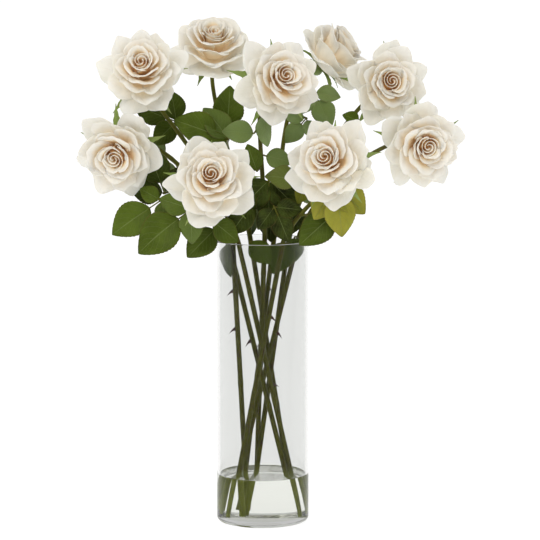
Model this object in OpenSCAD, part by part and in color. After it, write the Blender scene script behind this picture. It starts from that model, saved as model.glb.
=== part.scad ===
// Clear glass cylinder vase with an everlasting rose arrangement set in cast clear resin.
// +Z is up. The origin is the centre of the vase's resting face. -Y is the front of the arrangement.

/* [Vase] */
// Outside diameter of the glass cylinder
vase_d = 99; // [95:0.5:110]
// Height of the glass cylinder
vase_h = 305; // [290:1:315]
// Thickness of the glass wall
wall_t = 3; // [2:0.1:3.5]
// Thickness of the glass floor
floor_t = 6.5; // [5:0.1:7]

/* [Resin] */
// Height of the top of the cast resin above the resting face
resin_top = 51; // [35:1:70]

/* [Stems] */
// Diameter of a rose stem
stem_d = 5.4; // [4:0.1:5.6]
// Diameter of the steel wire in a stem
wire_d = 1.6; // [1:0.1:2]

/* [Roses] */
// Diameter of an open bloom of size 1
bloom_d = 92; // [80:1:96]
// Length of a sepal
sepal_len = 36; // [20:1:40]

/* [Leaves] */
// Thickness of a leaflet
leaf_t = 0.7; // [0.5:0.1:1.2]
// Diameter of a leaf stalk
stalk_d = 1.8; // [1.4:0.1:2.4]

/* [Hidden] */
$fn = 48;

// One row for each rose:
// [bloom seat, [yaw from the front, pitch], bloom size, stem foot, stem at the rim, tangent lengths]
ROSES = [
    [[-125, -6, 476], [-5, 31], 1.02, [-16, -10], [-31, -20], [70, 50]],
    [[-54, 45, 495], [5, 52], 0.95, [34, 12], [-13, 26], [70, 60]],
    [[12, -29, 474], [21, 14], 1.00, [-8, 40], [2, -12], [80, 65]],
    [[-53, -78, 372], [0, 20], 1.04, [40, -2], [-24, -33], [25, 30]],
    [[76, -69, 391], [-19, 16], 1.03, [-34, -22], [20, -34], [40, 45]],
    [[62, 63, 485], [78, 42], 0.97, [-24, 20], [12, 38], [90, 50]],
    [[131, 28, 467], [10, 9], 0.95, [-13, -2], [28, 20], [80, 60]],
    [[163, -23, 410], [16, -4], 1.00, [-36, -4], [37, 8], [70, 60]],
    [[-148, -29, 406], [-11, -16], 1.02, [36, -18], [-36, -2], [70, 60]],
];

// One row for each leaf spray: [rose, place along its stem (0 at the rim, 1 at the bloom),
// hub of the side leaflets, point that the end leaflet aims at, its length, roll,
// length of the two side leaflets (0 for none), angle between them and the end one]
SPRAYS = [
    [1, 0.12, [-106, -48, 353], [-158, -54, 318], 49, 0, 24, 64],
    [1, 0.52, [-92, 31, 428], [-140, 33, 446], 38, 0, 33, 64],
    [1, 0.30, [-66, 32, 362], [-88, 54, 348], 38, 160, 33, 64],
    [1, 0.00, [-37, -20, 303], [-36, -22, 266], 35, 60, 0, 0],
    [2, 0.45, [-36, -2, 412], [-92, -20, 434], 48, 0, 40, 38],
    [2, 0.52, [-38, 16, 424], [-33, 4, 476], 44, 0, 0, 0],
    [2, 0.20, [-48, 68, 364], [-70, 88, 344], 42, 180, 36, 64],
    [2, 0.10, [-18, 14, 348], [-24, 8, 312], 36, 0, 0, 0],
    [3, 0.58, [-9, -14, 420], [-38, -18, 423], 33, 0, 0, 0],
    [3, 0.64, [1, -12, 440], [4, -24, 404], 34, 50, 0, 0],
    [3, 0.42, [3, -14, 396], [31, -24, 391], 29, 0, 0, 0],
    [3, 0.36, [-6, -18, 380], [-16, -26, 408], 30, 0, 0, 0],
    [3, 0.18, [7, -22, 372], [6, -29, 327], 36, 0, 42, 46],
    [3, 0.15, [-12, 26, 344], [-28, 64, 326], 42, 180, 36, 64],
    [3, 0.00, [-13, -27, 306], [8, -31, 284], 31, 0, 0, 0],
    [4, 0.20, [-74, -62, 345], [-132, -69, 302], 56, 0, 34, 55],
    [4, 0.05, [-50, -48, 322], [-80, -53, 291], 41, 0, 0, 0],
    [4, 0.28, [-52, -58, 331], [-26, -54, 311], 34, 0, 0, 0],
    [4, 0.20, [-12, -46, 346], [-38, -51, 313], 36, 0, 0, 0],
    [5, 0.62, [77, -47, 371], [85, -60, 314], 44, 0, 42, 36],
    [5, 0.30, [74, -42, 336], [36, -54, 303], 46, 0, 0, 0],
    [5, 0.55, [46, -24, 371], [2, -38, 378], 34, 0, 24, 80],
    [5, 0.08, [12, -41, 345], [28, -45, 308], 31, 0, 27, 60],
    [5, 0.05, [34, -14, 346], [30, -10, 308], 36, 0, 0, 0],
    [5, 0.00, [28, -12, 303], [5, -22, 264], 36, 0, 0, 0],
    [6, 0.62, [47, 34, 432], [24, 22, 406], 27, 0, 22, 60],
    [6, 0.80, [55, 32, 460], [73, 12, 424], 34, 0, 26, 60],
    [6, 0.30, [34, 76, 362], [56, 96, 344], 38, 180, 32, 64],
    [7, 0.03, [10, 10, 340], [7, 5, 302], 38, 0, 0, 0],
    [7, 0.62, [104, 40, 428], [90, 32, 434], 20, 0, 0, 0],
    [7, 0.20, [46, 50, 352], [62, 64, 372], 34, 170, 20, 64],
    [8, 0.50, [98, 36, 376], [92, 46, 346], 30, 180, 20, 60],
    [8, 0.02, [34, -6, 308], [33, -9, 277], 25, 0, 0, 0],
    [9, 0.32, [-104, -16, 356], [-118, -26, 396], 42, 0, 36, 64],
    [9, 0.62, [-104, 38, 388], [-126, 52, 372], 38, 180, 33, 64],
];

// One row for each thorn: [rose, height above the resting face, turn about the stem]
THORNS = [
    [1, 252, 180], [1, 211, 175], [8, 204, 0], [9, 197, 185], [5, 226, 10], [7, 168, 200],
    [2, 232, 60], [3, 262, 90], [6, 186, 120], [4, 150, 30], [6, 248, 60], [2, 128, 95],
];

N = len(ROSES);
function rose_names(part) = [for (i = [1:N]) str("rose_", i, "_", part)];

vase_r = vase_d / 2;
bore_r = vase_r - wall_t;
heel_r = 5;             // rounding of the glass at the foot
floor_r = 4;            // rounding of the inside corner
stem_r = stem_d / 2;
wire_r = wire_d / 2;
foot_z = floor_t + 1.2; // the cut ends stand just clear of the glass floor
hip_len = 12;           // calyx cup, from the stem's end to the bloom's seat
hip_r = 6.4;
peg_r = 1.8;            // pin of the bud that holds the petal layers on the cup
peg_len = 4;
eye_r = peg_r + 0.3;    // hole of a petal layer, round the pin
petal_t = 1.2;
stem_sides = 10;
wire_sides = 6;
stem_rings = 12;        // rings along the bent length above the rim
clear = 0.2;            // gap between a stem and the end of a leaf stalk

function unit(v) = v / norm(v);
function facing(r) = [
    sin(r[1][0]) * cos(r[1][1]),
    -cos(r[1][0]) * cos(r[1][1]),
    sin(r[1][1])
];
function at_z(p, z) = [p[0], p[1], z];

// ---------- stems ----------

function stem_foot(r) = at_z(r[3], foot_z);
function stem_rim(r) = at_z(r[4], vase_h - 5);
function stem_end(r) = r[0] - hip_len * facing(r);
function bezier(p, t) = pow(1 - t, 3) * p[0] + 3 * t * pow(1 - t, 2) * p[1]
    + 3 * t * t * (1 - t) * p[2] + pow(t, 3) * p[3];

// The bend above the rim starts along the straight length and ends along the bloom's axis.
function stem_bend(r) = [
    stem_rim(r),
    stem_rim(r) + r[5][0] * unit(stem_rim(r) - stem_foot(r)),
    stem_end(r) - r[5][1] * facing(r),
    stem_end(r)
];
// The last 2 mm lie exactly on the bloom's axis, so the end meets the calyx squarely.
function stem_path(r) = concat([stem_foot(r)],
    [for (i = [0:stem_rings - 1]) bezier(stem_bend(r), i / stem_rings)],
    [stem_end(r) - 2 * facing(r), stem_end(r)]);
function stem_point(r, t) = bezier(stem_bend(r), t);
function stem_way(r, t) = unit(stem_point(r, t + 0.01) - stem_point(r, t - 0.01));

function tangent(path, i) =
    i == 0 ? unit(path[1] - path[0]) :
    i >= len(path) - 2 ? unit(path[len(path) - 1] - path[len(path) - 2]) :
    unit(unit(path[i + 1] - path[i]) + unit(path[i] - path[i - 1]));
function lengthened(path, start, end) = let (n = len(path) - 1) [
    for (i = [0:n])
        i == 0 ? path[0] - start * tangent(path, 0) :
        i == n ? path[n] + end * tangent(path, n) : path[i]
];

// Directions square to the path at each point, carried along it without twist.
function carried(path, v, i = 0) = i == len(path) ? [] :
    let (t = tangent(path, i), a = unit(v - (v * t) * t))
        concat([a], carried(path, a, i + 1));

// A tube along a path, square to it at every ring.
module tube(path, radius, sides) {
    rings = len(path);
    sideways = carried(path, [1, 0, 0]);
    points = [
        for (i = [0:rings - 1])
            let (a = sideways[i], b = cross(tangent(path, i), a))
                for (k = [0:sides - 1])
                    path[i] + radius * (cos(360 * k / sides) * a + sin(360 * k / sides) * b)
    ];
    walls = [
        for (i = [0:rings - 2], k = [0:sides - 1])
            let (p = i * sides + k, q = i * sides + (k + 1) % sides)
                each [[p, q + sides, q], [p, p + sides, q + sides]]
    ];
    first = [for (k = [0:sides - 1]) k];
    last = [for (k = [sides - 1:-1:0]) (rings - 1) * sides + k];
    polyhedron(points, concat([first], walls, [last]), convexity = 8);
}

// A straight round bar from a to b.
module rod(a, b, radius) {
    v = b - a;
    translate(a)
        rotate([0, acos(v[2] / norm(v)), atan2(v[1], v[0])])
            cylinder(r = radius, h = norm(v), $fn = 16);
}

// A thorn stands out of the stem and leans down.
module thorn(r, t) {
    along = (t[1] - foot_z) / (stem_rim(r)[2] - foot_z);
    translate(stem_foot(r) + along * (stem_rim(r) - stem_foot(r)))
        rotate([0, 0, t[2]])
            translate([stem_r - 1, 0, 0])
                rotate([0, 112, 0])
                    cylinder(h = 8, r1 = 2.2, r2 = 0.3, $fn = 8);
}

module stem(r, i) {
    color("olivedrab") difference() {
        union() {
            tube(stem_path(r), stem_r, stem_sides);
            for (t = THORNS) if (t[0] == i) thorn(r, t);
        }
        tube(lengthened(stem_path(r), 2, 2), wire_r, wire_sides);
    }
}

module stem_wires() {
    color("silver")
        for (r = ROSES) tube(lengthened(stem_path(r), 0, 5), wire_r, wire_sides);
}

// ---------- glass and resin ----------

// Half outline of the vase: rounded heel, upright wall, fire-polished round rim.
module vase_outline() {
    difference() {
        union() {
            translate([0, heel_r]) square([vase_r, vase_h - wall_t / 2 - heel_r]);
            square([vase_r - heel_r, heel_r + 1]);
            translate([vase_r - heel_r, heel_r]) circle(heel_r, $fn = 96);
        }
        translate([0, floor_t + floor_r]) square([bore_r, vase_h]);
        translate([0, floor_t]) square([bore_r - floor_r, floor_r + 1]);
        translate([bore_r - floor_r, floor_t + floor_r]) circle(floor_r, $fn = 96);
        translate([-2 * heel_r, -1]) square([2 * heel_r, vase_h + 2]);
    }
    translate([bore_r + wall_t / 2, vase_h - wall_t / 2]) circle(wall_t / 2, $fn = 48);
}

module glass_vase() {
    color("lightcyan", 0.35) rotate_extrude($fn = 180) vase_outline();
}

// The resin fills the bottom of the bore and holds the feet of the stems.
module cast_resin() {
    color("honeydew", 0.5) difference() {
        rotate_extrude($fn = 180) {
            translate([0, floor_t + floor_r])
                square([bore_r, resin_top - floor_t - floor_r]);
            translate([0, floor_t]) square([bore_r - floor_r, floor_r + 1]);
            intersection() {
                translate([bore_r - floor_r, floor_t + floor_r]) circle(floor_r, $fn = 96);
                translate([0, floor_t]) square([bore_r, floor_r + 1]);
            }
        }
        for (r = ROSES) {
            axis = unit(stem_rim(r) - stem_foot(r));
            tube([stem_foot(r), stem_foot(r) + 70 * axis], stem_r, stem_sides);
        }
    }
}

// ---------- blooms ----------

// Places children with their +Z along the bloom's facing and their origin at its seat.
module on_seat(r) {
    translate(r[0]) rotate([90 - r[1][1], 0, r[1][0]]) children();
}

// A thin band about the line given by points from the centre outwards.
module band(line, t) {
    n = len(line) - 1;
    side = [for (i = [0:n]) let (
        d = unit(line[min(i + 1, n)] - line[max(i - 1, 0)])) [-d[1], d[0]] * t / 2];
    polygon(concat([for (i = [0:n]) line[i] + side[i]], [for (i = [n:-1:0]) line[i] - side[i]]));
}

// Five round lobes about the axis, as one die-cut layer of petals has.
module lobes(reach, turn) {
    for (k = [0:4]) rotate(72 * k + turn) translate([0.56 * reach, 0]) circle(0.44 * reach);
    circle(0.62 * reach);
}

module petal_layer(line, reach, turn) {
    intersection() {
        rotate_extrude($fn = 96) band(line, petal_t);
        translate([0, 0, -40]) linear_extrude(120) lobes(reach, turn);
    }
}

module outer_petals(r) {
    s = r[2] * bloom_d / 92;
    color("linen") on_seat(r) {
        petal_layer([[eye_r, 0.8], [12 * s, 2], [26 * s, 9 * s], [39 * s, 17 * s], [46.5 * s, 15 * s]],
            46 * s, 0);
        petal_layer([[eye_r, 2.4], [12 * s, 5], [25 * s, 17 * s], [35 * s, 26 * s], [41 * s, 26 * s]],
            40.5 * s, 36);
    }
}

module inner_petals(r) {
    s = r[2] * bloom_d / 92;
    color("antiquewhite") on_seat(r) {
        petal_layer([[eye_r, 4.6], [10 * s, 8], [20 * s, 22 * s], [27 * s, 33 * s], [31 * s, 34 * s]],
            30.5 * s, 10);
        petal_layer([[eye_r, 6.6], [8 * s, 11], [14.5 * s, 24 * s], [19.5 * s, 37 * s], [22 * s, 38 * s]],
            21.6 * s, 46);
    }
}

module bud(r) {
    s = r[2] * bloom_d / 92;
    color("navajowhite") on_seat(r) {
        translate([0, 0, -peg_len]) cylinder(r = peg_r, h = peg_len + 12);
        rotate_extrude($fn = 72)
            polygon([[0, 9], [4, 9.5], [7.5 * s, 16], [10.5 * s, 25 * s], [10.5 * s, 34 * s],
                [8 * s, 39 * s], [5 * s, 40 * s], [2 * s, 37 * s], [0, 36.5 * s]]);
    }
}

// A pointed sepal, lying in the XY plane along +X.
module sepal_blade() {
    half = [[0, 1.6], [0.18, 2.9], [0.4, 3.3], [0.65, 2.1], [0.86, 0.9], [1, 0.25]];
    outline = concat([for (p = half) [p[0] * sepal_len, p[1]]],
        [for (i = [len(half) - 1:-1:0]) [half[i][0] * sepal_len, -half[i][1]]]);
    translate([0, 0, -0.4]) linear_extrude(0.8) polygon(outline);
}

module calyx(r) {
    color("yellowgreen") on_seat(r) {
        difference() {
            rotate_extrude($fn = 72)
                polygon([[0, -hip_len], [stem_r, -hip_len], [5.2, -9], [hip_r, -5.5],
                    [5.9, -1.5], [5, 0], [0, 0]]);
            translate([0, 0, -hip_len - 1]) cylinder(r = wire_r + 0.05, h = 6.5);
            translate([0, 0, -peg_len - 0.5]) cylinder(r = peg_r, h = peg_len + 1);
        }
        for (k = [0:4])
            rotate([0, 0, 72 * k + 20]) translate([4.2, 0, -1.6]) rotate([0, 14, 0]) sepal_blade();
    }
}

// ---------- leaves ----------

// Half width of a leaflet, as a share of its length, at s from its base to its tip.
function leaf_half(s) = 0.36 * pow(sin(180 * pow(s, 0.8)), 0.85);
leaf_steps = 8;

// A flat leaflet with its own stalk, lying in the XY plane along +X from the origin.
module leaf_blade(length, stalk) {
    edge = [
        for (i = [0:leaf_steps])
            let (s = i / leaf_steps) [stalk + s * length, leaf_half(s) * length + 0.5]
    ];
    upper = concat([[0, 0.5]], edge);
    lower = [for (i = [len(upper) - 1:-1:0]) [upper[i][0], -upper[i][1]]];
    translate([0, 0, -leaf_t / 2]) linear_extrude(leaf_t) polygon(concat(upper, lower));
}

// Turns +X to the direction d, with +Z as near as it can be to face.
module aim(origin, d, face) {
    z = unit(face - (face * d) * d);
    y = cross(z, d);
    multmatrix([
        [d[0], y[0], z[0], origin[0]],
        [d[1], y[1], z[1], origin[1]],
        [d[2], y[2], z[2], origin[2]]
    ]) children();
}

// Three leaflets on a stalk, one at the end and one to each side, or a single leaflet.
front = unit([0, -1, 0.35]);
rachis = 0.3;           // from the side pair to the end leaflet, as a share of its length
function turned(v, d, angle) = v * cos(angle) + cross(d, v) * sin(angle)
    + d * (d * v) * (1 - cos(angle));

module spray(s) {
    r = ROSES[s[0] - 1];
    start = stem_point(r, s[1]);
    hub = s[2];
    d = unit(s[3] - hub);
    face = turned(unit(front - (front * d) * d), d, s[5]);
    out = unit(hub - start);
    lean = abs(out * stem_way(r, s[1]));
    gap = (stem_r + clear + lean * stalk_d / 2) / sqrt(1 - lean * lean);
    rod(start + gap * out, hub + 1.5 * d, stalk_d / 2);
    aim(hub, d, face) {
        leaf_blade(s[4], s[6] > 0 ? rachis * s[4] : 1);
        if (s[6] > 0)
            for (side = [-1, 1])
                rotate([0, 0, side * s[7]]) translate([0, 0, side * 0.45 * leaf_t])
                    leaf_blade(s[6], 2.5);
    }
}

module leaves(i) {
    color("darkgreen") for (s = SPRAYS) if (s[0] == i) spray(s);
}

// ---------- assembly ----------

glass_vase();
cast_resin();
stem_wires();
for (i = [1:N]) {
    stem(ROSES[i - 1], i);
    calyx(ROSES[i - 1]);
    outer_petals(ROSES[i - 1]);
    inner_petals(ROSES[i - 1]);
    bud(ROSES[i - 1]);
    leaves(i);
}
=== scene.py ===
"""Looks for the glass cylinder vase with faux roses set in cast clear resin.

Everything is in metres in the CAD frame: +Z up, -Y towards the camera, the origin at the centre of the
resting face. The tables below repeat part.scad's, in millimetres.
"""

import math
import random

import bmesh
import bpy
import numpy as np
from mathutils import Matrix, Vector


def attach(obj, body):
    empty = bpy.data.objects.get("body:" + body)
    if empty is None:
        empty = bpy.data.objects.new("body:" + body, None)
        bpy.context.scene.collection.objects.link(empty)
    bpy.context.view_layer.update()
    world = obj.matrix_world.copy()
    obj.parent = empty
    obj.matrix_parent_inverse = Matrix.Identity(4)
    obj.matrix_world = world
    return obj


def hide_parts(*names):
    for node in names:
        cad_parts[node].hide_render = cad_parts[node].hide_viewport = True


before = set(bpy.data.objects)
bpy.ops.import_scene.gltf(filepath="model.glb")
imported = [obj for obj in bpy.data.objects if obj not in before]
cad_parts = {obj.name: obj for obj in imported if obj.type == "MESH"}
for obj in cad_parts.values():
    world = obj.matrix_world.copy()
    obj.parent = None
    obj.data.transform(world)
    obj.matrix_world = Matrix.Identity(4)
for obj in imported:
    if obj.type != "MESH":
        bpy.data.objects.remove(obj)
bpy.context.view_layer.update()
MM = 0.001

# ---------------------------------------------------------------- camera

LOOK_DOWN = 7.75  # degrees

cam_data = bpy.data.cameras.new("camera")
cam_data.lens = 214.5
cam_data.sensor_width = 36.0
cam_data.clip_start = 0.05
cam_data.clip_end = 200.0
camera = bpy.data.objects.new("camera", cam_data)
camera.location = (0.0078, -3.410, 0.736)
camera.rotation_euler = (math.radians(90 - LOOK_DOWN), 0, 0)
bpy.context.scene.collection.objects.link(camera)
bpy.context.scene.camera = camera

# ---------------------------------------------------------------- tables, in mm, as in part.scad

VASE_R = 49.5
VASE_H = 305.0
WALL = 3.0
FLOOR = 6.5
HEEL = 5.0
CORNER = 4.0
RESIN_TOP = 51.0
STEM_R = 2.7
FOOT_Z = FLOOR + 1.2
HIP = 12.0
BEND_Z = VASE_H - 5.0  # where a stem ends its straight run
PETAL_THICK = 0.28
HEART_THICK = 0.42
SEPAL_THICK = 0.5
LEAF_THICK = 0.45
ROUND = 192  # sides of the glass and the resin

# bloom seat, (yaw, pitch), size, foot, rim, tangent lengths
ROSES = [
    [(-125, -6, 476), (-5, 31), 1.02, (-16, -10), (-31, -20), (70, 50)],
    [(-54, 45, 495), (5, 52), 0.95, (34, 12), (-13, 26), (70, 60)],
    [(12, -29, 474), (21, 14), 1.0, (-8, 40), (2, -12), (80, 65)],
    [(-53, -78, 372), (0, 20), 1.04, (40, -2), (-24, -33), (25, 30)],
    [(76, -69, 391), (-19, 16), 1.03, (-34, -22), (20, -34), (40, 45)],
    [(62, 63, 485), (78, 42), 0.97, (-24, 20), (12, 38), (90, 50)],
    [(131, 28, 467), (10, 9), 0.95, (-13, -2), (28, 20), (80, 60)],
    [(163, -23, 410), (16, -4), 1.0, (-36, -4), (37, 8), (70, 60)],
    [(-148, -29, 406), (-11, -16), 1.02, (36, -18), (-36, -2), (70, 60)],
]

# rose, place along its stem, hub, aim of the end leaflet, its length, roll, side leaflets' length (0 for
# none) and angle, tint: 0 dark green, darker than the leaf itself as painted shade on leaves deep in the
# bunch, 0.5 mid green, 1 pale grey green, partly a painted sheen, 1.3 olive, 2 yellow
SPRAYS = [
    [1, 0.12, (-106, -48, 353), (-158, -54, 318), 49, 0, 24, 64, 0.50],
    [1, 0.52, (-92, 31, 428), (-140, 33, 446), 38, 0, 33, 64, 0.30],
    [1, 0.30, (-66, 32, 362), (-88, 54, 348), 38, 160, 33, 64, 0.30],
    [1, 0.00, (-37, -20, 303), (-36, -22, 266), 35, 60, 0, 0, 0.40],
    [2, 0.45, (-36, -2, 412), (-92, -20, 434), 48, 0, 40, 38, 0.50],
    [2, 0.52, (-38, 16, 424), (-33, 4, 476), 44, 0, 0, 0, 0.42],
    [2, 0.20, (-48, 68, 364), (-70, 88, 344), 42, 180, 36, 64, 0.30],
    [2, 0.10, (-18, 14, 348), (-24, 8, 312), 36, 0, 0, 0, 0.10],
    [3, 0.58, (-9, -14, 420), (-38, -18, 423), 33, 0, 0, 0, 0.80],
    [3, 0.64, (1, -12, 440), (4, -24, 404), 34, 50, 0, 0, 1.00],
    [3, 0.42, (3, -14, 396), (31, -24, 391), 29, 0, 0, 0, 0.70],
    [3, 0.36, (-6, -18, 380), (-16, -26, 408), 30, 0, 0, 0, 0.30],
    [3, 0.18, (7, -22, 372), (6, -29, 327), 36, 0, 42, 46, 0.00],
    [3, 0.15, (-12, 26, 344), (-28, 64, 326), 42, 180, 36, 64, 0.20],
    [3, 0.00, (-13, -27, 306), (8, -31, 284), 31, 0, 0, 0, 0.50],
    [4, 0.20, (-74, -62, 345), (-132, -69, 302), 56, 0, 34, 55, 0.50],
    [4, 0.05, (-50, -48, 322), (-80, -53, 291), 41, 0, 0, 0, 0.30],
    [4, 0.28, (-52, -58, 331), (-26, -54, 311), 34, 0, 0, 0, 0.40],
    [4, 0.20, (-12, -46, 346), (-38, -51, 313), 36, 0, 0, 0, 0.05],
    [5, 0.62, (77, -47, 371), (85, -60, 314), 44, 0, 42, 36, 1.90],
    [5, 0.30, (74, -42, 336), (36, -54, 303), 46, 0, 0, 0, 0.30],
    [5, 0.55, (46, -24, 371), (2, -38, 378), 34, 0, 24, 80, 1.35],
    [5, 0.08, (12, -41, 345), (28, -45, 308), 31, 0, 27, 60, 0.00],
    [5, 0.05, (34, -14, 346), (30, -10, 308), 36, 0, 0, 0, 0.05],
    [5, 0.00, (28, -12, 303), (5, -22, 264), 36, 0, 0, 0, 0.50],
    [6, 0.62, (47, 34, 432), (24, 22, 406), 27, 0, 22, 60, 0.90],
    [6, 0.80, (55, 32, 460), (73, 12, 424), 34, 0, 26, 60, 0.95],
    [6, 0.30, (34, 76, 362), (56, 96, 344), 38, 180, 32, 64, 0.30],
    [7, 0.03, (10, 10, 340), (7, 5, 302), 38, 0, 0, 0, 0.00],
    [7, 0.62, (104, 40, 428), (90, 32, 434), 20, 0, 0, 0, 0.50],
    [7, 0.20, (46, 50, 352), (62, 64, 372), 34, 170, 20, 64, 0.20],
    [8, 0.50, (98, 36, 376), (92, 46, 346), 30, 180, 20, 60, 0.30],
    [8, 0.02, (34, -6, 308), (33, -9, 277), 25, 0, 0, 0, 0.60],
    [9, 0.32, (-104, -16, 356), (-118, -26, 396), 42, 0, 36, 64, 0.15],
    [9, 0.62, (-104, 38, 388), (-126, 52, 372), 38, 180, 33, 64, 0.30],
]

# rose, height, turn about the stem
THORNS = [
    (1, 252, 180), (1, 211, 175), (8, 204, 0), (9, 197, 185), (5, 226, 10), (7, 168, 200),
    (2, 232, 60), (3, 262, 90), (6, 186, 120), (4, 150, 30), (6, 248, 60), (2, 128, 95),
]

# ---------------------------------------------------------------- small maths


def unit(v):
    v = np.asarray(v, float)
    return v / max(np.linalg.norm(v), 1e-12)


def facing(rose):
    yaw, pitch = map(math.radians, rose[1])
    return np.array([math.sin(yaw) * math.cos(pitch), -math.cos(yaw) * math.cos(pitch), math.sin(pitch)])


def smooth(a, b, x):
    t = np.clip((np.asarray(x, float) - a) / (b - a), 0, 1)
    return t * t * (3 - 2 * t)


def bezier(p, t):
    t = np.asarray(t, float)[..., None]
    return (1 - t) ** 3 * p[0] + 3 * t * (1 - t) ** 2 * p[1] + 3 * t * t * (1 - t) * p[2] + t**3 * p[3]


def through(points, n):
    """A smooth curve of n points through the given ones, as Catmull and Rom draw it."""
    p = np.asarray(points, float)
    p = np.vstack([2 * p[0] - p[1], p, 2 * p[-1] - p[-2]])
    out = []
    for s in np.linspace(0, len(points) - 1, n):
        i = min(int(s), len(points) - 2)
        t = s - i
        a, b, c, d = p[i : i + 4]
        square = (2 * a - 5 * b + 4 * c - d) * t * t
        cube = (3 * b - a - 3 * c + d) * t**3
        out.append(0.5 * (2 * b + (c - a) * t + square + cube))
    return np.array(out)


def turned(v, axis, degrees):
    a = math.radians(degrees)
    v, axis = np.asarray(v, float), unit(axis)
    return v * math.cos(a) + np.cross(axis, v) * math.sin(a) + axis * (axis @ v) * (1 - math.cos(a))


def stem_foot(rose):
    return np.array([*rose[3], FOOT_Z], float)


def stem_bend(rose):
    """The four points of a stem's curve from the rim to its calyx."""
    foot = stem_foot(rose)
    rim = np.array([*rose[4], BEND_Z], float)
    end = np.array(rose[0], float) - HIP * facing(rose)
    return [rim, rim + rose[5][0] * unit(rim - foot), end - rose[5][1] * facing(rose), end]


# ---------------------------------------------------------------- mesh building


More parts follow.
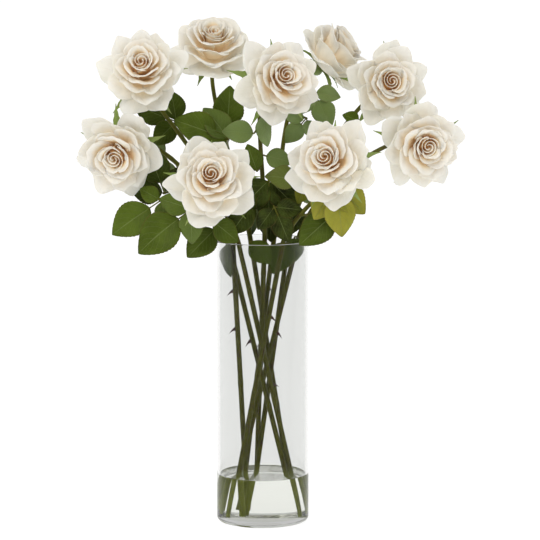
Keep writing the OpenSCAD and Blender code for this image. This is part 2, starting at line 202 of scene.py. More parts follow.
class Build:
    """Collects quads with two surface coordinates, a tone and a material number, then makes one object."""

    def __init__(self):
        self.co, self.uv, self.tone, self.faces, self.mats = [], [], [], [], []
        self.count = 0

    def points(self, co, uv, tone):
        co = np.asarray(co, float).reshape(-1, 3)
        first = self.count
        self.co.append(co)
        self.uv.append(np.asarray(uv, float).reshape(-1, 2))
        self.tone.append(np.broadcast_to(np.asarray(tone, float).reshape(-1), (len(co),)).copy())
        self.count += len(co)
        return first

    def quads(self, a, mat=0):
        a = np.asarray(a, int).reshape(-1, a.shape[-1])
        self.faces.extend(a.tolist())
        self.mats.extend([mat] * len(a))

    def shell(self, grid, thick, uv, tone, front=0, back=0):
        """A thin closed sheet: grid is (n, m, 3); the front face looks along cross(d/dn, d/dm)."""
        n, m = grid.shape[:2]
        du = np.gradient(grid, axis=0)
        dv = np.gradient(grid, axis=1)
        normal = np.cross(du, dv)
        normal /= np.maximum(np.linalg.norm(normal, axis=2, keepdims=True), 1e-9)
        half = thick / 2
        top = self.points(grid + normal * half, uv, tone)
        low = self.points(grid - normal * half, uv, tone)
        index = np.arange(n * m).reshape(n, m)
        a, b, c, d = index[:-1, :-1], index[1:, :-1], index[1:, 1:], index[:-1, 1:]
        self.quads(np.stack([a, b, c, d], -1) + top, front)
        self.quads(np.stack([a, d, c, b], -1) + low, back)
        edge = np.concatenate([index[:, 0], index[-1, 1:], index[-2::-1, -1], index[0, -2:0:-1]])
        after = np.roll(edge, -1)
        self.quads(np.stack([edge + low, after + low, after + top, edge + top], -1), back)

    def tube(self, path, radii, sides, uvlen=1.0, tone=0.0, mat=0, cap=0, round_=None, up=(1, 0, 0)):
        """A closed tube along path; round_(angle, run) can scale the radius round the section."""
        path = np.asarray(path, float)
        n = len(path)
        step = np.diff(path, axis=0)
        step /= np.maximum(np.linalg.norm(step, axis=1, keepdims=True), 1e-9)
        way = np.vstack([step[0], step[:-1] + step[1:], step[-1]])
        way /= np.linalg.norm(way, axis=1, keepdims=True)
        run = np.concatenate([[0], np.cumsum(np.linalg.norm(np.diff(path, axis=0), axis=1))])
        side = np.asarray(up, float)
        rows = []
        ang = np.arange(sides + 1) * 2 * math.pi / sides
        for i in range(n):
            side = unit(side - (side @ way[i]) * way[i])
            other = np.cross(way[i], side)
            r = radii[i] * (np.ones(sides + 1) if round_ is None else round_(ang, run[i]))
            rows.append(path[i] + r[:, None] * (np.cos(ang)[:, None] * side + np.sin(ang)[:, None] * other))
        rows = np.array(rows)
        uv = np.stack(np.broadcast_arrays(run[:, None] * uvlen, ang[None, :] / (2 * math.pi)), -1)
        tone = np.broadcast_to(float(tone), (n, sides + 1))
        body = rows[:, :sides]
        first = self.points(body, uv[:, :sides], tone[:, :sides])
        index = np.arange(n * sides).reshape(n, sides)
        nxt = np.roll(index, -1, axis=1)
        self.quads(np.stack([index[:-1], nxt[:-1], nxt[1:], index[1:]], -1) + first, mat)
        for end in (0, n - 1):
            mid = self.points(path[end], uv[end, 0], tone[end, 0])
            ring = index[end] + first
            for k in range(sides):
                pair = [ring[k], ring[(k + 1) % sides]]
                self.faces.append([mid, *(pair if end else pair[::-1])])
                self.mats.append(cap)

    def lathe(self, outline, segments):
        """Turns an outline of (r, z) about Z. It starts and ends on the axis, and runs from the foot up."""
        outline = np.asarray(outline, float)
        n = len(outline)
        ang = np.arange(segments) * 2 * math.pi / segments
        r, z = outline[:, :1], outline[:, 1:]
        co = np.stack([r * np.cos(ang), r * np.sin(ang), np.broadcast_to(z, (n, segments))], -1)
        uv = np.stack(np.broadcast_arrays(np.linspace(0, 1, n)[:, None], ang[None, :]), -1)
        first = self.points(co, uv, 0.0)
        index = np.arange(n * segments).reshape(n, segments)
        nxt = np.roll(index, -1, axis=1)
        self.quads(np.stack([index[:-1], nxt[:-1], nxt[1:], index[1:]], -1) + first)

    def make(self, name, materials, place=None, merge=None, sharp=None):
        co = np.concatenate(self.co)
        if place is not None:
            co = co @ place[:3, :3].T + place[:3, 3]
        mesh = bpy.data.meshes.new(name)
        mesh.from_pydata((co * MM).tolist(), [], self.faces)
        for mat in materials:
            mesh.materials.append(mat)
        mesh.polygons.foreach_set("material_index", self.mats)
        mesh.polygons.foreach_set("use_smooth", [True] * len(self.faces))
        uv = np.concatenate(self.uv)
        corner = np.zeros(len(mesh.loops), int)
        mesh.loops.foreach_get("vertex_index", corner)
        layer = mesh.uv_layers.new(name="UVMap")
        layer.data.foreach_set("uv", uv[corner].ravel())
        tone = mesh.attributes.new("tone", "FLOAT", "POINT")
        tone.data.foreach_set("value", np.concatenate(self.tone))
        mesh.update()
        obj = bpy.data.objects.new(name, mesh)
        bpy.context.scene.collection.objects.link(obj)
        if merge or sharp:
            bm = bmesh.new()
            bm.from_mesh(mesh)
            if merge:
                bmesh.ops.remove_doubles(bm, verts=bm.verts, dist=merge * MM)
            if sharp:
                for e in bm.edges:
                    if len(e.link_faces) == 2 and e.calc_face_angle() > math.radians(sharp):
                        e.smooth = False
            bm.to_mesh(mesh)
            bm.free()
        return obj


def done(obj, slot, *nodes):
    """Hands a piece to the frame: the body it rides on and the CAD nodes it replaces. Its slot argument is
    not used.
    """
    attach(obj, "root")
    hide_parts(*nodes)


# ---------------------------------------------------------------- materials


class Nodes:
    """A short way to write a material's node tree."""

    def __init__(self, name):
        self.mat = bpy.data.materials.new(name)
        self.mat.use_nodes = True
        self.tree = self.mat.node_tree
        self.tree.nodes.clear()
        self.out = self.add("ShaderNodeOutputMaterial")
        self.bsdf = self.add("ShaderNodeBsdfPrincipled")
        self.link(self.bsdf.outputs[0], self.out.inputs["Surface"])

    def add(self, kind, **props):
        node = self.tree.nodes.new(kind)
        for k, v in props.items():
            setattr(node, k, v)
        return node

    def link(self, a, b):
        self.tree.links.new(a, b)

    def put(self, socket, value):
        if isinstance(value, bpy.types.NodeSocket):
            self.link(value, socket)
        else:
            socket.default_value = value

    def set(self, **values):
        for k, v in values.items():
            self.put(self.bsdf.inputs[k.replace("_", " ")], v)

    def math(self, op, a, b=0.0):
        node = self.add("ShaderNodeMath", operation=op)
        self.put(node.inputs[0], a)
        self.put(node.inputs[1], b)
        return node.outputs[0]

    def uv(self):
        sep = self.add("ShaderNodeSeparateXYZ")
        self.link(self.add("ShaderNodeUVMap", uv_map="UVMap").outputs[0], sep.inputs[0])
        return sep.outputs[0], sep.outputs[1]

    def tone(self):
        return self.add("ShaderNodeAttribute", attribute_name="tone").outputs["Fac"]

    def place(self, scale=(1, 1, 1)):
        node = self.add("ShaderNodeMapping")
        self.link(self.add("ShaderNodeTexCoord").outputs["Object"], node.inputs["Vector"])
        node.inputs["Scale"].default_value = scale
        return node.outputs[0]

    def noise(self, vector, scale, detail=3.0, rough=0.5):
        node = self.add("ShaderNodeTexNoise")
        self.link(vector, node.inputs["Vector"])
        node.inputs["Scale"].default_value = scale
        node.inputs["Detail"].default_value = detail
        node.inputs["Roughness"].default_value = rough
        return node.outputs["Fac"]

    def range(self, x, a, b, c=0.0, d=1.0):
        node = self.add("ShaderNodeMapRange", interpolation_type="SMOOTHSTEP")
        for i, v in enumerate((x, a, b, c, d)):
            self.put(node.inputs[i], v)
        return node.outputs[0]

    def mix(self, fac, a, b):
        node = self.add("ShaderNodeMix", data_type="RGBA")
        self.put(node.inputs[0], fac)
        for i, v in ((6, a), (7, b)):
            if not isinstance(v, bpy.types.NodeSocket):
                v = (*v, 1.0)
            self.put(node.inputs[i], v)
        return node.outputs[2]

    def ramp(self, fac, stops):
        node = self.add("ShaderNodeValToRGB")
        self.link(fac, node.inputs[0])
        while len(node.color_ramp.elements) < len(stops):
            node.color_ramp.elements.new(0.5)
        for e, (pos, col) in zip(node.color_ramp.elements, stops):
            e.position = pos
            e.color = (*col, 1.0)
        return node.outputs[0]

    def bump(self, height, strength, distance):
        node = self.add("ShaderNodeBump")
        self.put(node.inputs["Height"], height)
        node.inputs["Strength"].default_value = strength
        node.inputs["Distance"].default_value = distance
        self.link(node.outputs[0], self.bsdf.inputs["Normal"])


def petal_material(name, rim, mid, deep, green, glow):
    """Fabric petal with printed fine veins fanning from the base. It is ivory at the rim and turns peach
    deeper down, a painted warm shade where the petals overlap.
    """
    m = Nodes(name)
    tone = m.tone()
    along, across = m.uv()
    place = m.place()
    cloud = m.noise(place, 60.0, 3.0)
    shade = m.math("ADD", tone, m.math("MULTIPLY", m.math("SUBTRACT", cloud, 0.5), 0.22))
    # painted shade: peach deep below the rim and ivory at the rim, with a touch lighter at the very rim as a
    # painted highlight
    rim_highlight = tuple(min(1.0, c + 0.02) for c in rim)
    colour = m.ramp(shade, [(0.0, deep), (0.40, mid), (0.80, rim), (1.0, rim_highlight)])
    fan = m.add("ShaderNodeCombineXYZ")
    m.link(m.math("MULTIPLY", across, 26.0), fan.inputs[0])
    m.link(m.math("MULTIPLY", along, 2.2), fan.inputs[1])
    vein = m.noise(fan.outputs[0], 1.0, 2.0, 0.6)
    colour = m.mix(m.range(vein, 0.5, 0.75, 0.0, 0.16), colour, tuple(0.82 * c for c in mid))
    blush = m.noise(place, 22.0, 2.0)
    colour = m.mix(m.range(blush, 0.52, 0.8, 0.0, green), colour, (0.72, 0.70, 0.48))
    weave = m.add("ShaderNodeTexVoronoi")
    m.link(place, weave.inputs["Vector"])
    weave.inputs["Scale"].default_value = 1400.0
    height = m.math("ADD", m.math("MULTIPLY", vein, 1.0), m.math("MULTIPLY", weave.outputs["Distance"], 0.12))
    height = m.math("ADD", height, m.math("MULTIPLY", m.noise(place, 130.0, 3.0), 1.6))
    m.bump(height, 0.42, 0.0009)
    m.set(Base_Color=colour, Roughness=m.range(cloud, 0.2, 0.8, 0.48, 0.64))
    m.set(Specular_IOR_Level=0.35, Sheen_Weight=0.25, Sheen_Roughness=0.45)
    m.set(Subsurface_Weight=0.5, Subsurface_Radius=(1.0, 0.86, 0.70), Subsurface_Scale=0.0035)
    # the glow stands in for light that comes through several thin layers
    m.set(Emission_Color=colour, Emission_Strength=m.range(tone, 0.0, 0.9, glow, 0.0))
    return m.mat


def leaf_material(name, dark, middle, light, olive, yellow, vein_colour, gloss):
    """Printed fabric leaf: midrib, side veins and the net between them; tone carries the leaflet's tint,
    whose dark end is partly painted shade and whose pale grey green is partly a painted sheen.
    """
    m = Nodes(name)
    tone = m.tone()
    along, across = m.uv()
    place = m.place()
    off = m.math("ABSOLUTE", across)
    cloud = m.noise(place, 70.0, 4.0)
    # the dark end is darker than the leaf itself, a painted shade; the pale grey green is partly a painted
    # sheen
    tints = [(0.0, dark), (0.25, middle), (0.5, light), (0.65, olive), (1.0, yellow)]
    body = m.ramp(m.math("MULTIPLY", tone, 0.5), tints)
    body = m.mix(m.range(cloud, 0.35, 0.75, 0.0, 0.28), body, tuple(min(1.0, 1.7 * c + 0.01) for c in middle))
    patch = m.noise(place, 28.0, 2.0)
    body = m.mix(m.range(patch, 0.45, 0.75, 0.0, 0.30), body, tuple(0.8 * c for c in dark))
    # side veins run forward from the midrib
    phase = m.math("SUBTRACT", m.math("MULTIPLY", along, 7.0), m.math("MULTIPLY", off, 2.8))
    phase = m.math("ADD", phase, m.math("MULTIPLY", m.noise(place, 90.0, 2.0), 0.9))
    wave = m.math("ABSOLUTE", m.math("SUBTRACT", m.math("FRACT", phase), 0.5))
    side = m.range(wave, 0.0, 0.1, 1.0, 0.0)
    side = m.math("MULTIPLY", side, m.range(off, 0.75, 1.0, 1.0, 0.0))
    rib = m.range(off, 0.015, 0.05, 1.0, 0.0)
    net = m.add("ShaderNodeTexVoronoi", feature="DISTANCE_TO_EDGE")
    m.link(place, net.inputs["Vector"])
    net.inputs["Scale"].default_value = 420.0
    mesh = m.range(net.outputs["Distance"], 0.0, 0.12, 1.0, 0.0)
    line = m.math("MAXIMUM", m.math("MULTIPLY", side, 0.40), rib)
    line = m.math("MAXIMUM", line, m.math("MULTIPLY", mesh, 0.14))
    colour = m.mix(m.math("MULTIPLY", line, 0.36), body, vein_colour)
    edge = m.range(off, 0.93, 1.0, 0.0, 0.35)
    colour = m.mix(edge, colour, (0.16, 0.09, 0.03))
    grooves = m.math("ADD", m.math("MULTIPLY", side, 0.7), rib)
    height = m.math("SUBTRACT", m.math("MULTIPLY", cloud, 0.3), grooves)
    m.bump(height, 0.55, 0.0006)
    m.set(Base_Color=colour, Roughness=m.range(cloud, 0.2, 0.8, gloss, gloss + 0.16))
    m.set(Specular_IOR_Level=0.09)
    m.set(Subsurface_Weight=0.05, Subsurface_Radius=(0.4, 1.0, 0.2), Subsurface_Scale=0.001)
    return m.mat


def stem_material():
    """Moulded plastic stem, olive with long brown streaks, painted a brighter green where it stands in the
    resin for the light the resin brings to it from all sides.
    """
    m = Nodes("stem_olive")
    along, across = m.uv()
    tone = m.tone()
    long_ = m.add("ShaderNodeCombineXYZ")
    m.link(m.math("MULTIPLY", along, 14.0), long_.inputs[0])
    m.link(m.math("MULTIPLY", across, 5.0), long_.inputs[1])
    m.link(m.math("MULTIPLY", tone, 40.0), long_.inputs[2])
    streak = m.noise(long_.outputs[0], 1.0, 4.0, 0.6)
    place = m.place()
    fine = m.noise(place, 500.0, 3.0)
    green = m.mix(m.noise(place, 35.0, 2.0), (0.062, 0.066, 0.004), (0.138, 0.140, 0.010))
    colour = m.mix(m.range(streak, 0.52, 0.70, 0.0, 0.85), green, (0.062, 0.030, 0.012))
    colour = m.mix(m.range(streak, 0.28, 0.40, 0.6, 0.0), colour, (0.17, 0.18, 0.042))
    colour = m.mix(m.range(fine, 0.6, 0.8, 0.0, 0.4), colour, (0.045, 0.04, 0.015))
    height = m.add("ShaderNodeSeparateXYZ")
    m.link(place, height.inputs[0])
    # painted light: brighter green in and just above the resin, for the light the resin gathers round the
    # stem
    foot = m.range(height.outputs[2], (RESIN_TOP - 3) * MM, (RESIN_TOP + 11) * MM, 1.0, 0.0)
    colour = m.mix(foot, colour, m.mix(streak, (0.30, 0.34, 0.06), (0.12, 0.13, 0.03)))
    m.bump(m.math("ADD", m.math("MULTIPLY", streak, 1.0), m.math("MULTIPLY", fine, 0.35)), 0.5, 0.0006)
    m.set(Base_Color=colour, Roughness=m.range(fine, 0.2, 0.8, 0.38, 0.58), Specular_IOR_Level=0.22)
    return m.mat


def plain_material(name, a, b, scale, rough, bump):
    """A two-colour mottled material for the small pieces."""
    m = Nodes(name)
    place = m.place()
    cloud = m.noise(place, scale, 4.0)
    fine = m.noise(place, scale * 8, 2.0)
    colour = m.mix(m.range(cloud, 0.3, 0.7), a, b)
    m.bump(m.math("ADD", cloud, m.math("MULTIPLY", fine, 0.4)), bump, 0.0005)
    m.set(Base_Color=colour, Roughness=m.range(fine, 0.3, 0.7, rough, rough + 0.12))
    return m.mat


def wire_material():
    m = Nodes("steel_wire")
    place = m.place((1, 1, 0.04))
    drawn = m.noise(place, 2500.0, 2.0)
    m.bump(drawn, 0.3, 0.0001)
    m.set(Base_Color=m.mix(drawn, (0.42, 0.42, 0.43), (0.60, 0.60, 0.61)), Metallic=1.0)
    m.set(Roughness=m.range(drawn, 0.3, 0.7, 0.28, 0.45))
    return m.mat


def clear_material(name, colour, ior, wave, scale, shine, body=1.0):
    """Clear glass or resin with the faint long waves of a drawn or cast surface."""
    m = Nodes(name)
    soft = m.noise(m.place((1, 1, 0.35)), scale, 1.0)
    m.bump(soft, wave, 0.001)
    tint = m.mix(soft, tuple(0.985 * c for c in colour), colour)
    m.set(Base_Color=tint, Roughness=0.0, IOR=ior, Transmission_Weight=body)
    m.set(Specular_Tint=(shine, shine, shine, 1))
    return m.mat


OUTER = petal_material("petal_outer", (0.915, 0.875, 0.765), (0.92, 0.82, 0.635), (0.91, 0.74, 0.49),
                       0.36, 0.10)
INNER = petal_material("petal_inner", (0.92, 0.865, 0.74), (0.92, 0.77, 0.53), (0.90, 0.62, 0.33),
                       0.08, 0.035)
HEART = petal_material("petal_heart", (0.93, 0.85, 0.70), (0.91, 0.69, 0.42), (0.80, 0.46, 0.20), 0.0, 0.0)
LEAF = leaf_material("leaf_face", (0.016, 0.021, 0.001), (0.076, 0.113, 0.008), (0.240, 0.320, 0.130),
                     (0.085, 0.092, 0.002), (0.370, 0.350, 0.046), (0.25, 0.31, 0.11), 0.36)
UNDER = leaf_material("leaf_under", (0.050, 0.070, 0.022), (0.150, 0.200, 0.065), (0.270, 0.340, 0.170),
                      (0.150, 0.170, 0.040), (0.370, 0.370, 0.120), (0.32, 0.38, 0.20), 0.5)
STEM = stem_material()
THORN = plain_material("thorn_brown", (0.045, 0.014, 0.012), (0.10, 0.04, 0.03), 300.0, 0.35, 0.3)
CUT = plain_material("stem_cut", (0.16, 0.085, 0.02), (0.32, 0.22, 0.06), 500.0, 0.6, 0.5)
HIPM = plain_material("calyx_green", (0.12, 0.17, 0.035), (0.24, 0.32, 0.09), 160.0, 0.42, 0.35)
SEPAL = leaf_material("sepal_green", (0.10, 0.16, 0.03), (0.21, 0.29, 0.07), (0.36, 0.44, 0.15),
                      (0.30, 0.38, 0.12), (0.44, 0.48, 0.20), (0.40, 0.48, 0.20), 0.42)
WIRE = wire_material()
GLASS = clear_material("clear_glass", (0.83, 0.835, 0.825), 1.5, 0.02, 9.0, 0.12)
# partly clear glass, partly white: the white is a painted highlight along the top of the rim
LIP_HIGHLIGHT = clear_material("glass_lip_painted_highlight", (1.0, 1.0, 1.0), 1.5, 0.01, 9.0, 1.0, 0.62)
RESIN = clear_material("clear_resin", (0.995, 0.998, 0.97), 1.49, 0.03, 14.0, 0.3)
JOINED = clear_material("joined_faces", (0.955, 0.96, 0.935), 1.0, 0.0, 14.0, 0.0)

# ---------------------------------------------------------------- glass and resin


def arc(cx, cz, r, a, b, n):
    t = np.radians(np.linspace(a, b, n))
    return [(cx + r * math.cos(x), cz + r * math.sin(x)) for x in t]


def make_glass():
    """The glass, with a band on top of its lip that is partly painted white as a highlight, and the joined
    faces where the resin wets it.
    """
    inner = VASE_R - WALL
    lip = WALL / 2
    highlight_band = 0.75  # depth of the band on top of the rim that is partly painted white, a painted highlight
    line = [(0.0, 0.0), (20, 0.0), (VASE_R - HEEL - 2, 0.0)]
    line += arc(VASE_R - HEEL, HEEL, HEEL, -90, 0, 14)
    line += [(VASE_R, z) for z in np.linspace(HEEL + 4, VASE_H - lip - 3, 60)]
    line += arc(VASE_R - lip, VASE_H - lip, lip, 0, 180, 16)
    line += [(inner, z) for z in np.linspace(VASE_H - lip - 3, RESIN_TOP + 1.0, 50)]
    wet = len(line) - 1
    line += [(inner, z) for z in np.linspace(RESIN_TOP - 3, FLOOR + CORNER + 3, 8)]
    line += arc(inner - CORNER, FLOOR + CORNER, CORNER, 0, -90, 12)
    line += [(20, FLOOR), (0.0, FLOOR)]
    b = Build()
    b.lathe(line, ROUND)
    for k in range(len(b.faces)):
        row = k // ROUND
        if min(line[row][1], line[row + 1][1]) > VASE_H - highlight_band:
            b.mats[k] = 1
        elif row >= wet:
            b.mats[k] = 2
    done(b.make("vase_glass", [GLASS, LIP_HIGHLIGHT, JOINED], merge=0.001), "clear_glass", "glass_vase")


def make_resin():
    """The set resin. Its side and foot reach a little into the glass, and nothing shows where they join."""
    skin = 0.35
    r = VASE_R - WALL + skin
    low = FLOOR - skin
    line = [(0.0, low), (20, low), (r - CORNER - 2, low)]
    line += arc(r - CORNER, low + CORNER, CORNER, -90, 0, 12)
    line += [(r, z) for z in np.linspace(low + CORNER + 3, RESIN_TOP + 1.0, 16)]
    top = len(line) - 1
    climb = [0.15, 0.5, 1.0, 1.7, 2.6, 4.0]
    line += [(VASE_R - WALL - d, RESIN_TOP + 1.2 * math.exp(-d / 1.1)) for d in climb]
    line += [(x, RESIN_TOP) for x in (38, 30, 20, 10, 0.0)]
    b = Build()
    b.lathe(line, ROUND)
    b.mats = [int(k // ROUND < top) for k in range(len(b.faces))]
    done(b.make("resin_water", [RESIN, JOINED], merge=0.001), "clear_resin", "cast_resin")


# ---------------------------------------------------------------- stems


def stem_line(rose):
    """The stem's middle line: straight from the foot to just below the rim, then along its bend."""
    step = 5.0
    bend = stem_bend(rose)
    foot = stem_foot(rose)
    low = np.linspace(foot, bend[0], int(np.linalg.norm(bend[0] - foot) / step))
    high = bezier(bend, np.linspace(0, 1, 44))
    return np.vstack([low[:-1], high])


def make_stem(number, rose):
    rng = random.Random(100 + number)
    b = Build()
    line = stem_line(rose)
    run = np.concatenate([[0], np.cumsum(np.linalg.norm(np.diff(line, axis=0), axis=1))])
    total = run[-1]
    radii = STEM_R * (1.0 - 0.20 * smooth(0.55 * total, total, run))
    knots = [rng.uniform(0.22, 0.34) * total * k for k in (1, 2, 3)]
    for k in knots:
        radii = radii + 0.32 * np.exp(-(((run - k) / 3.5) ** 2))
    radii[-2:] = STEM_R * np.array([0.86, 1.0])
    phase = rng.uniform(0, 6)

    def ribs(ang, s):
        return 1 + 0.030 * np.sin(5 * ang + phase) + 0.014 * np.sin(9 * ang + 0.05 * s)

    b.tube(line, radii, 20, uvlen=0.006, tone=number * 0.11, cap=1, round_=ribs)
    foot = stem_foot(rose)
    straight = unit(stem_bend(rose)[0] - foot)
    for who, height, turn in THORNS:
        if who != number:
            continue
        at = foot + straight * (height - FOOT_Z) / straight[2]
        out = np.array([math.cos(math.radians(turn)), math.sin(math.radians(turn)), 0.0])
        out = unit(out - (out @ straight) * straight)
        steps = np.linspace(0, 1, 9)
        curve = [at + out * (STEM_R - 0.9 + 7.2 * t) - straight * (0.6 * t + 4.4 * t * t) for t in steps]
        size = [2.9, 2.25, 1.75, 1.35, 1.02, 0.75, 0.5, 0.28, 0.06]

        def flat(ang, s):
            return np.sqrt((0.55 * np.sin(ang)) ** 2 + np.cos(ang) ** 2)

        b.tube(curve, size, 14, mat=2, cap=2, round_=flat, up=straight)
    obj = b.make(f"rose_{number}_stem_skin", [STEM, CUT, THORN], sharp=50)
    done(obj, "stem", f"rose_{number}_stem")


# ---------------------------------------------------------------- blooms


def seat_matrix(rose):
    """From bloom space, Z along the facing and the origin at the seat, to millimetres in the frame."""
    yaw, pitch = map(math.radians, rose[1])
    tilt = math.pi / 2 - pitch
    rx = np.array([[1, 0, 0], [0, math.cos(tilt), -math.sin(tilt)], [0, math.sin(tilt), math.cos(tilt)]])
    rz = np.array([[math.cos(yaw), -math.sin(yaw), 0], [math.sin(yaw), math.cos(yaw), 0], [0, 0, 1]])
    m = np.eye(4)
    m[:3, :3] = rz @ rx
    m[:3, 3] = rose[0]
    return m


# Each ring: petals, half width in degrees, line from base to tip as (radius, height), then the bend of the
# tip and of the shoulders, where the bend starts, swirl, ripple, the depth below the rim where the painted
# peach shade is full, the shift up the bloom, and how much shorter the petal is at its sides.
RINGS = {
    "outer": [
        (5, 43, [(4, 1), (18, 3), (30, 8), (40, 14), (50, 18)],
         0.30, 1.3, 0.45, 2.2, 1.9, 62, 0.0, 0.46),
        (5, 43, [(4, 2), (16, 6), (26, 15), (33.5, 25), (41, 31)],
         0.25, 1.2, 0.45, 2.2, 1.7, 46, 0.0, 0.42),
        (5, 46, [(4, 3), (14, 11), (21.5, 23), (27.5, 33), (34, 39)],
         0.25, 0.95, 0.52, 2.6, 1.4, 25, 0.5, 0.33),
    ],
    "inner": [
        (4, 58, [(3, 5), (10.5, 16), (16.3, 29), (20.8, 38), (25.5, 43)],
         0.25, 0.75, 0.60, 2.8, 1.1, 17, 1.1, 0.16),
        (4, 60, [(3, 6), (8.5, 18), (12.4, 31), (15.6, 39.5), (18.5, 44)],
         0.2, 0.6, 0.66, 2.2, 0.8, 12, 1.8, 0.10),
        (3, 76, [(3, 7), (7, 20), (9.6, 33), (11.9, 41), (13.7, 45)],
         0.2, 0.4, 0.70, 1.6, 0.6, 10, 2.4, 0.05),
    ],
}


# roses whose petals still stand up: how wide the bloom is, and how far the petals bend back
CUPPED = {2: (0.97, 0.6), 6: (0.88, 0.5)}


def petal(b, ring, phi, scale, rng, open_, calm):
    """One petal, column by column from base to rim, bent back towards the rim and most at its shoulders.

    open_ is how wide the bloom stands and calm how far its petals bend; both are 1 for an open bloom.
    """
    _, half, line, tip_bend, side_bend, start, swirl, ripple, deep, shift, taper = ring
    ripple = ripple * calm
    nu, nv = 39, 27
    curve = through(line, 80)
    lengths = np.concatenate([[0], np.cumsum(np.linalg.norm(np.diff(curve, axis=0), axis=1))])
    total = lengths[-1] * rng.uniform(0.94, 1.06)
    slope = np.unwrap(np.arctan2(np.gradient(curve[:, 1]), np.gradient(curve[:, 0])))
    u = np.linspace(-1, 1, nu)[:, None]
    v = 1 - (1 - np.linspace(0, 1, nv)[None, :]) ** 1.5
    # how much of the ring's line each column runs along: least at the sides, with an uneven edge
    lean = rng.uniform(-0.22, 0.22)
    side = np.abs(u - lean * (1 - u * u))
    reach = 0.99 - taper * calm**2 * np.sqrt(side**2 + 0.002) - 0.16 * side**6
    reach = reach + 0.075 * calm * (np.abs((u * rng.uniform(1.2, 1.9) + rng.uniform(0, 2)) % 2 - 1) - 0.5)
    reach = reach + 0.018 * calm * (np.abs((u * rng.uniform(4.2, 6.0) + rng.uniform(0, 2)) % 2 - 1) - 0.5)
    length = total * reach
    s = v * length
    # each column's slope, and how it bends back
    angle = np.interp(s / total * lengths[-1], lengths, slope)
    hard = rng.uniform(0.6, 1.3)
    edge = smooth(0.08, 0.75, side) * np.where(u > 0, rng.uniform(0.35, 1.25), rng.uniform(0.35, 1.25))
    bend = (tip_bend + (side_bend - tip_bend) * edge) * hard * calm
    angle = angle - bend * np.clip((v - start) / (1 - start), 0, 1) ** 1.6
    angle = angle - (0.10 + 0.9 * edge) * np.clip((v - 0.945) / 0.055, 0, 1)
    angle = angle + rng.uniform(-0.11, 0.11) * smooth(0.1, 0.5, v)
    # walking along the slope gives the radius and the height
    ds = np.diff(s, axis=1)
    mid = 0.5 * (angle[:, 1:] + angle[:, :-1])
    r = line[0][0] + np.concatenate([np.zeros((nu, 1)), np.cumsum(np.cos(mid) * ds, axis=1)], axis=1)
    z = line[0][1] + np.concatenate([np.zeros((nu, 1)), np.cumsum(np.sin(mid) * ds, axis=1)], axis=1)
    width = math.radians(half) * (0.80 + 0.20 * smooth(0.0, 0.6, v)) * rng.uniform(0.95, 1.05)
    width = width * (1.25 - 0.25 * calm)
    ang = phi + u * width + 0.06 * np.sin(v * 5 + rng.uniform(0, 6)) * smooth(0.2, 0.8, v)
    up = smooth(0.05, 0.8, v)
    r = r + swirl * u * up - 0.045 * r * u**2 * up
    # folds, fine ripples near the rim and a crease down the middle
    fold = np.sin(u * rng.uniform(2.6, 4.4) + rng.uniform(0, 6.3))
    fold = fold + 0.5 * np.sin(u * rng.uniform(6, 9) + v * rng.uniform(-2, 2) + rng.uniform(0, 6.3))
    fine = np.sin(u * rng.uniform(13, 19) + v * rng.uniform(-6, 6) + rng.uniform(0, 6.3))
    fine = fine * smooth(0.55, 0.95, v)
    z = z + ripple * (fold * smooth(0.35, 1.0, v) + 0.16 * fine)
    r = r - ripple * (0.5 * fold * smooth(0.3, 0.9, v) + 0.10 * fine)
    crease = np.exp(-((u - lean) ** 2) / 0.02) * smooth(0.15, 0.7, v) * (1 - 0.5 * v)
    z = z - 0.8 * crease
    r = np.maximum(r, 1.2) * (1 - (1 - open_) * smooth(0.1, 0.6, v))
    z = z * (1 + 0.7 * (1 - open_) * smooth(0.1, 0.6, v))
    grid = np.stack([r * np.cos(ang), r * np.sin(ang) + shift * up, z + 0 * ang], -1) * scale
    # the painted shade: 1 at the rim, less with depth below it, where the petals lie over each other
    below = (1 - v) * length
    tone = 1 - 0.86 * smooth(deep * 0.10, deep, below) - 0.14 * smooth(0.0, 5.0, below)
    tone = tone + rng.uniform(-0.05, 0.03)
    uv = np.stack(np.broadcast_arrays(v, (u + 1) / 2 + phi), -1)
    b.shell(grid, PETAL_THICK, uv, tone)


def make_blooms(number, rose):
    rng = random.Random(40 + number)
    place = seat_matrix(rose)
    scale = rose[2]
    turn = rng.uniform(0, 2 * math.pi)
    for part, mat, slot in (("outer", OUTER, "outer_petal"), ("inner", INNER, "inner_petal")):
        b = Build()
        for ring in RINGS[part]:
            turn += math.radians(rng.uniform(28, 44))
            for i in range(ring[0]):
                phi = turn + 2 * math.pi * i / ring[0] + math.radians(rng.uniform(-6, 6))
                petal(b, ring, phi, scale, rng, *CUPPED.get(number, (1.0, 1.0)))
        done(b.make(f"rose_{number}_{part}_look", [mat], place), slot, f"rose_{number}_{part}_petals")
    make_heart(number, rng, place, scale)


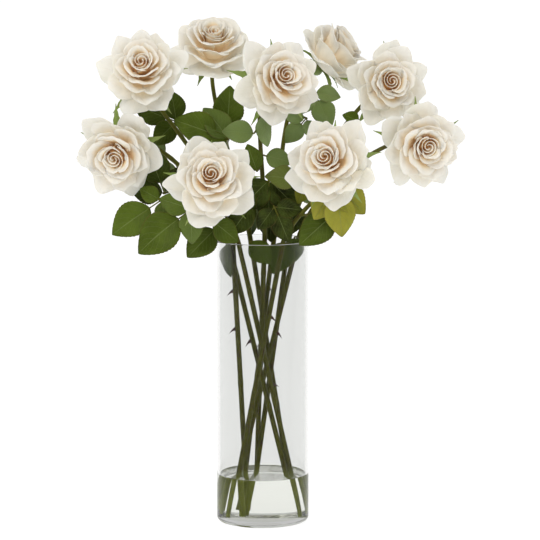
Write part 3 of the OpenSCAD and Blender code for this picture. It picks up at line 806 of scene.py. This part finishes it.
def make_heart(number, rng, place, scale):
    """The rolled centre: two long petals wound round each other, and the seed cone that hides the seat."""
    b = Build()
    start = rng.uniform(0, 2 * math.pi)
    for arm in (0, 1):
        nu, nv = 90, 11
        u = np.linspace(0, 1, nu)[:, None]
        v = np.linspace(0, 1, nv)[None, :]
        ang = start + arm * math.pi * 1.05 + u * 2 * math.pi * 1.45
        rad = 11.2 - 9.6 * u**0.85
        top = 41.0 - 0.4 * u + 0.9 * np.sin(u * 9 + arm * 2)
        top = top - 3.5 * smooth(0.0, 0.08, 0.08 - u) - 1.0 * smooth(0.9, 1.0, u)
        foot = 21.0 + 6 * u
        z = foot + (top - foot) * v
        r = rad * (0.86 + 0.14 * smooth(0.0, 0.7, v)) + 0.9 * smooth(0.78, 1.0, v) * (1 - 0.5 * u)
        z = z - 0.5 * smooth(0.86, 1.0, v)
        r = np.maximum(r, 0.7)
        grid = np.stack([r * np.cos(ang), r * np.sin(ang) + 2.6, z + 0 * ang], -1) * scale
        # painted shade: peach deeper down between the turns of the spiral, ivory at their tops
        tone = 1 - smooth(0.6, 7.5, top - z)
        uv = np.stack(np.broadcast_arrays(v, u * 3), -1)
        b.shell(grid, HEART_THICK, uv, tone)
    line = [(0.0, 2), (3, 2.2), (6, 12), (9, 22), (9.6, 27), (7, 30), (3, 31), (0.0, 31)]
    b.lathe(np.array(line) * scale, 32)
    b.co[-1][:, 1] += 2.2 * scale
    heart = b.make(f"rose_{number}_heart_look", [HEART], place, merge=0.0005)
    done(heart, "petal_heart", f"rose_{number}_bud")


# ---------------------------------------------------------------- calyx


def make_calyx(number, rose):
    rng = random.Random(70 + number)
    b = Build()
    line = [(0.0, -12.0), (2.3, -12.2), (2.9, -11.6), (3.4, -10.6), (5.2, -8.8), (6.3, -6.4)]
    line += [(6.4, -4.6), (5.9, -2.4), (5.3, -1.0), (4.6, -0.1), (2.5, 0.2), (0.0, 0.2)]
    b.lathe(line, 40)
    for k in range(5):
        length = rng.uniform(43, 51) * (0.7 if number in CUPPED else 1.0)
        nu, nv = 26, 9
        s = np.linspace(0, 1, nu)[:, None]
        w = np.linspace(-1, 1, nv)[None, :]
        half = 4.6 * (0.55 + 0.45 * smooth(0, 0.3, s)) * (1 - smooth(0.45, 1.02, s)) ** 0.9 + 0.2
        half = half * (1 + 0.10 * np.sin(s * 40 + k))
        droop = rng.uniform(0.1, 1.0)
        bow = 3.0 * np.sin(math.pi * s * 0.9) - droop * 12 * s**2 - 3 * s
        drift = rng.uniform(-2.5, 2.5) * s**2
        x = 3.6 + length * s * (1 - 0.04 * droop * s) + 0 * w
        y = half * w + drift
        z = -1.2 + bow + 1.1 * (half / 4) * w**2 + 0 * x
        a = math.radians(72 * k + 20 + rng.uniform(-7, 7))
        grid = np.stack([x * math.cos(a) - y * math.sin(a), x * math.sin(a) + y * math.cos(a), z], -1)
        uv = np.stack(np.broadcast_arrays(s, w), -1)
        b.shell(grid, SEPAL_THICK, uv, rng.uniform(0.3, 0.9), front=1, back=1)
    calyx = b.make(f"rose_{number}_calyx_look", [HIPM, SEPAL], seat_matrix(rose), merge=0.0005)
    done(calyx, "calyx", f"rose_{number}_calyx")


# ---------------------------------------------------------------- leaves


def leaflet(b, origin, d, face, length, tint, rng, stalk):
    """A toothed leaflet with its own curve, fold and short stalk. d is its direction, face its upper side."""
    d = unit(d)
    face = unit(face - (face @ d) * d)
    across = np.cross(face, d)
    nu, nv = 40, 15
    s = np.linspace(0, 1, nu)[:, None]
    w = np.linspace(-1, 1, nv)[None, :]
    half = 0.375 * length * np.sin(math.pi * s**0.80) ** 0.82
    teeth = 1 + 0.050 * (1 - np.abs((s * 13) % 1.0) - 0.5) * smooth(0.05, 0.3, s)
    half = half * np.where(np.abs(w) > 0.9, teeth, 1.0) + 0.25
    curl = rng.uniform(0.04, 0.13) * length
    fold = rng.uniform(0.08, 0.26)
    bend = rng.uniform(-0.05, 0.05) * length
    x = stalk + s * length * 0.995 + 0 * w
    y = half * w + bend * s**2
    lift = fold * np.abs(y) - fold * 0.25 * length * 0.15
    wave = 0.018 * length * np.sin(s * rng.uniform(7, 11) + w * 2 + rng.uniform(0, 6)) * np.abs(w)
    z = lift * smooth(0.0, 0.15, s) + wave - curl * (s**2) * 1.4 + 0.3 * curl * np.sin(math.pi * s)
    grid = origin + x[..., None] * d + y[..., None] * across + z[..., None] * face
    uv = np.stack(np.broadcast_arrays(s, w), -1)
    b.shell(grid, LEAF_THICK, uv, tint, front=1, back=0)
    rod = [origin + d * t for t in np.linspace(0, stalk + 0.06 * length, 4)]
    b.tube(rod, [0.75, 0.68, 0.6, 0.35], 8, uvlen=0.006, tone=tint, mat=2, cap=2)


def make_leaves(number, rose):
    rng = random.Random(10 + number)
    b = Build()
    bend = stem_bend(rose)
    front = unit([0, -1, 0.35])
    for who, at, hub, tip, length, roll, side_length, spread, tint in SPRAYS:
        if who != number:
            continue
        start = bezier(bend, at)
        hub = np.array(hub, float)
        d = unit(np.array(tip, float) - hub)
        face = turned(unit(front - (front @ d) * d), d, roll)
        way = unit(bezier(bend, at + 0.02) - start)
        out = unit(hub - start)
        mid = start + 0.42 * (hub - start) + way * 0.10 * np.linalg.norm(hub - start)
        stalk = through([start + out * 1.2, mid, hub, hub + d * 2], 16)
        b.tube(stalk, np.linspace(1.15, 0.78, 16), 10, uvlen=0.006, tone=number * 0.13, mat=2, cap=2)
        if side_length:
            step = 0.3 * length
            rod = [hub, hub + d * step * 0.5, hub + d * step]
            b.tube(rod, [0.78, 0.72, 0.68], 8, uvlen=0.006, mat=2, cap=2)
            leaflet(b, hub + d * (step - 1), d, face, length, tint + rng.uniform(-0.15, 0.15), rng, 1.5)
            across = np.cross(face, d)
            for side in (-1, 1):
                a = math.radians(spread + rng.uniform(-4, 2)) * side
                way2 = d * math.cos(a) + across * math.sin(a)
                leaflet(b, hub + d * 0.5, way2, face, side_length, tint + rng.uniform(-0.15, 0.15), rng, 2.5)
        else:
            leaflet(b, hub, d, face, length, tint, rng, 1.0)
    leaves = b.make(f"rose_{number}_leaves_look", [UNDER, LEAF, STEM], merge=0.0005)
    done(leaves, "leaf", f"rose_{number}_leaves")


# ---------------------------------------------------------------- build

make_glass()
make_resin()
for i, rose in enumerate(ROSES):
    make_stem(i + 1, rose)
    make_blooms(i + 1, rose)
    make_calyx(i + 1, rose)
    make_leaves(i + 1, rose)

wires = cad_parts["stem_wires"]
wires.data.materials.clear()
wires.data.materials.append(WIRE)

# ---------------------------------------------------------------- studio


def make_floor():
    """A plain pale floor, wide enough to fill the picture behind the vase."""
    half = 60.0
    low = -0.0002  # just under the foot, so that the two faces don't fight
    verts = [(-half, -half, low), (half, -half, low), (half, half, low), (-half, half, low)]
    mesh = bpy.data.meshes.new("studio_floor")
    mesh.from_pydata(verts, [], [(0, 1, 2, 3)])
    obj = bpy.data.objects.new("studio_floor", mesh)
    bpy.context.scene.collection.objects.link(obj)
    m = Nodes("studio_paper")
    m.set(Base_Color=(0.22, 0.22, 0.22, 1), Roughness=0.9, Specular_IOR_Level=0.0)
    m.set(Emission_Color=(1, 1, 1, 1), Emission_Strength=0.93)
    mesh.materials.append(m.mat)


def area(name, place, aim, size, power, colour=(1, 1, 1)):
    light = bpy.data.lights.new(name, "AREA")
    light.shape = "RECTANGLE"
    light.size, light.size_y = size
    light.energy = power
    light.color = colour
    obj = bpy.data.objects.new(name, light)
    obj.location = place
    obj.rotation_euler = (Vector(aim) - Vector(place)).to_track_quat("-Z", "Y").to_euler()
    bpy.context.scene.collection.objects.link(obj)


make_floor()
area("key", (-1.1, -1.9, 2.3), (0, 0, 0.35), (1.8, 1.8), 29.0, (1.0, 0.985, 0.96))
area("fill", (1.5, -2.0, 1.2), (0, 0, 0.35), (1.6, 1.6), 7.5)
area("top", (0, 0.2, 2.4), (0, 0, 0.3), (1.8, 1.8), 5.0)

# a white surround, brighter behind the vase and above it than in front and below
world = bpy.data.worlds.new("studio")
world.use_nodes = True
sky = world.node_tree
direction = sky.nodes.new("ShaderNodeSeparateXYZ")
sky.links.new(sky.nodes.new("ShaderNodeTexCoord").outputs["Generated"], direction.inputs[0])
shade = sky.nodes.new("ShaderNodeMapRange")
shade.interpolation_type = "SMOOTHSTEP"
sky.links.new(direction.outputs[1], shade.inputs["Value"])
for socket, value in (("From Min", -0.8), ("From Max", 0.5), ("To Min", 0.36), ("To Max", 0.60)):
    shade.inputs[socket].default_value = value
over = sky.nodes.new("ShaderNodeMath")
over.operation = "MULTIPLY_ADD"
over.inputs[1].default_value = 0.2
sky.links.new(direction.outputs[2], over.inputs[0])
sky.links.new(shade.outputs[0], over.inputs[2])
sky.links.new(over.outputs[0], sky.nodes["Background"].inputs["Strength"])
sky.nodes["Background"].inputs["Color"].default_value = (1, 1, 1, 1)
bpy.context.scene.world = world
cycles = bpy.context.scene.cycles
cycles.max_bounces = cycles.transmission_bounces = 40  # the resin and glass take many crossings
cycles.glossy_bounces = 16
bpy.context.scene.view_settings.view_transform = "Standard"
bpy.context.scene.view_settings.look = "None"
